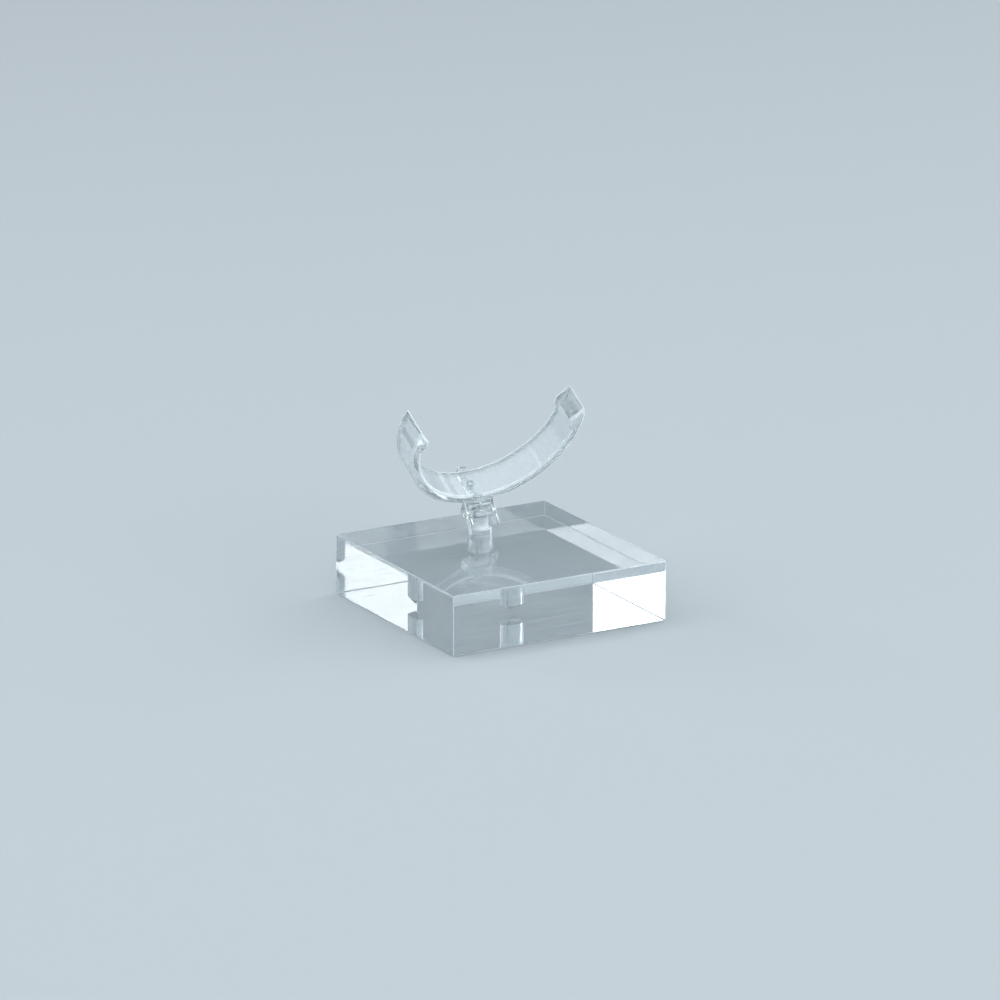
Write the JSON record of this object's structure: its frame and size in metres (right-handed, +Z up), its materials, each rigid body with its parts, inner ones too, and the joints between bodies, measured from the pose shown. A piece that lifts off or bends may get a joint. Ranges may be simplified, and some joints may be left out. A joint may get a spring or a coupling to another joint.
{
  "type": "turntable display stand",
  "caption": "Clear acrylic display stand: an open ring with lipped ends on a tilting fork, on a peg that turns in a square block.",
  "frame": {"origin": "centre of the block's underside", "axes": "+Z up, +X to the right along the block's front edge, +Y to the back; the ring opens up and forwards"},
  "size_m": [0.06, 0.06, 0.053],
  "materials": {
    "block": "flame-polished clear acrylic",
    "peg": "clear acrylic rod, turned and polished",
    "pin": "clear acrylic, smooth",
    "moulded": "clear injection moulding, glossy with faint flow marks"
  },
  "bodies": {
    "base": {"base_block": "block"},
    "post": {"swivel_post": "peg"},
    "head": {"tilt_pin": "pin", "saddle_clip": "moulded", "cradle_band": "moulded"}
  },
  "joints": [
    {"name": "swivel", "type": "hinge", "parent": "base", "child": "post", "pos_m": [0, 0.01, 0], "axis": [0, 0, 1], "continuous": true},
    {"name": "tilt", "type": "hinge", "parent": "post", "child": "head", "pos_m": [0, 0.01, 0.0212], "axis": [1, 0, 0], "range_deg": [-35, 60]}
  ]
}
